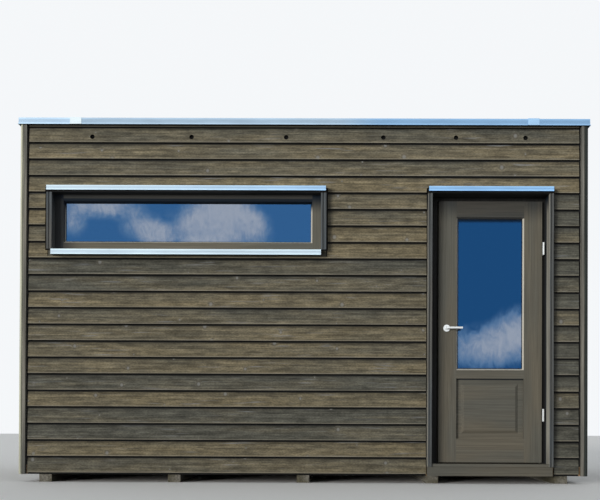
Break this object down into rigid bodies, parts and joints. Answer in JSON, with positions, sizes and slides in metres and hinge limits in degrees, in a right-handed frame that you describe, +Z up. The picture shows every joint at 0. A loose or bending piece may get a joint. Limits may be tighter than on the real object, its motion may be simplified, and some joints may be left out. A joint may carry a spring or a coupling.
{
  "type": "outdoor sauna",
  "caption": "Flat-roofed timber outdoor sauna with lapped board cladding, a high ribbon window, a metal roof edge and a glazed door that opens outwards.",
  "frame": {"origin": "on the ground under the middle of the cabin, at the underside of the middle bearer", "axes": "+X along the front to the door end, +Y from the front towards the back, +Z up"},
  "size_m": [4.316, 2.473, 2.753],
  "materials": {
    "weathered_boards": "weathered",
    "casing_timber": "weathered",
    "frame_timber": "stained",
    "wall_lining": "natural",
    "floor_timber": "natural",
    "bearer_timber": "rough",
    "roof_edge_metal": "satin",
    "flashing_metal": "satin",
    "roof_membrane": "matte",
    "glass": "clear",
    "hinge_steel": "satin"
  },
  "bodies": {
    "cabin": {"ground_bearers": "bearer_timber", "floor_deck": "floor_timber", "back_wall": "wall_lining", "left_wall": "wall_lining", "right_wall": "wall_lining", "ceiling_panel": "wall_lining", "front_wall_left": "wall_lining", "front_wall_under_window": "wall_lining", "front_wall_middle": "wall_lining", "front_wall_right": "wall_lining", "front_wall_top": "wall_lining", "front_cladding_top": "weathered_boards", "front_cladding_left": "weathered_boards", "front_cladding_under_window": "weathered_boards", "front_cladding_middle": "weathered_boards", "front_cladding_right": "weathered_boards", "back_cladding": "weathered_boards", "left_cladding": "weathered_boards", "right_cladding": "weathered_boards", "corner_posts": "casing_timber", "roof_deck": "floor_timber", "roof_membrane": "roof_membrane", "roof_trim_front": "roof_edge_metal", "roof_trim_back": "roof_edge_metal", "roof_trim_left": "roof_edge_metal", "roof_trim_right": "roof_edge_metal", "trim_joint_covers": "roof_edge_metal", "window_casing_jambs": "casing_timber", "window_head_board": "casing_timber", "window_sill_board": "casing_timber", "window_flashings": "flashing_metal", "window_frame_stiles": "frame_timber", "window_frame_rails": "frame_timber", "window_glass": "glass", "window_beads": "frame_timber", "door_casing_jambs": "casing_timber", "door_head_board": "casing_timber", "door_head_flashing": "flashing_metal", "door_frame_posts": "frame_timber", "door_frame_head": "frame_timber", "door_threshold": "frame_timber", "door_stops": "frame_timber", "hinge_pins": "hinge_steel"},
    "door": {"door_stiles": "frame_timber", "door_rails": "frame_timber", "door_lower_panel": "frame_timber", "door_glass": "glass", "door_beads": "frame_timber", "hinge_knuckles": "hinge_steel", "door_handles": "hinge_steel"}
  },
  "joints": [
    {"name": "door_hinge", "type": "hinge", "parent": "cabin", "child": "door", "pos_m": [1.824, -1.137, 0.52], "axis": [0, 0, 1], "range_deg": [0, 100]}
  ]
}
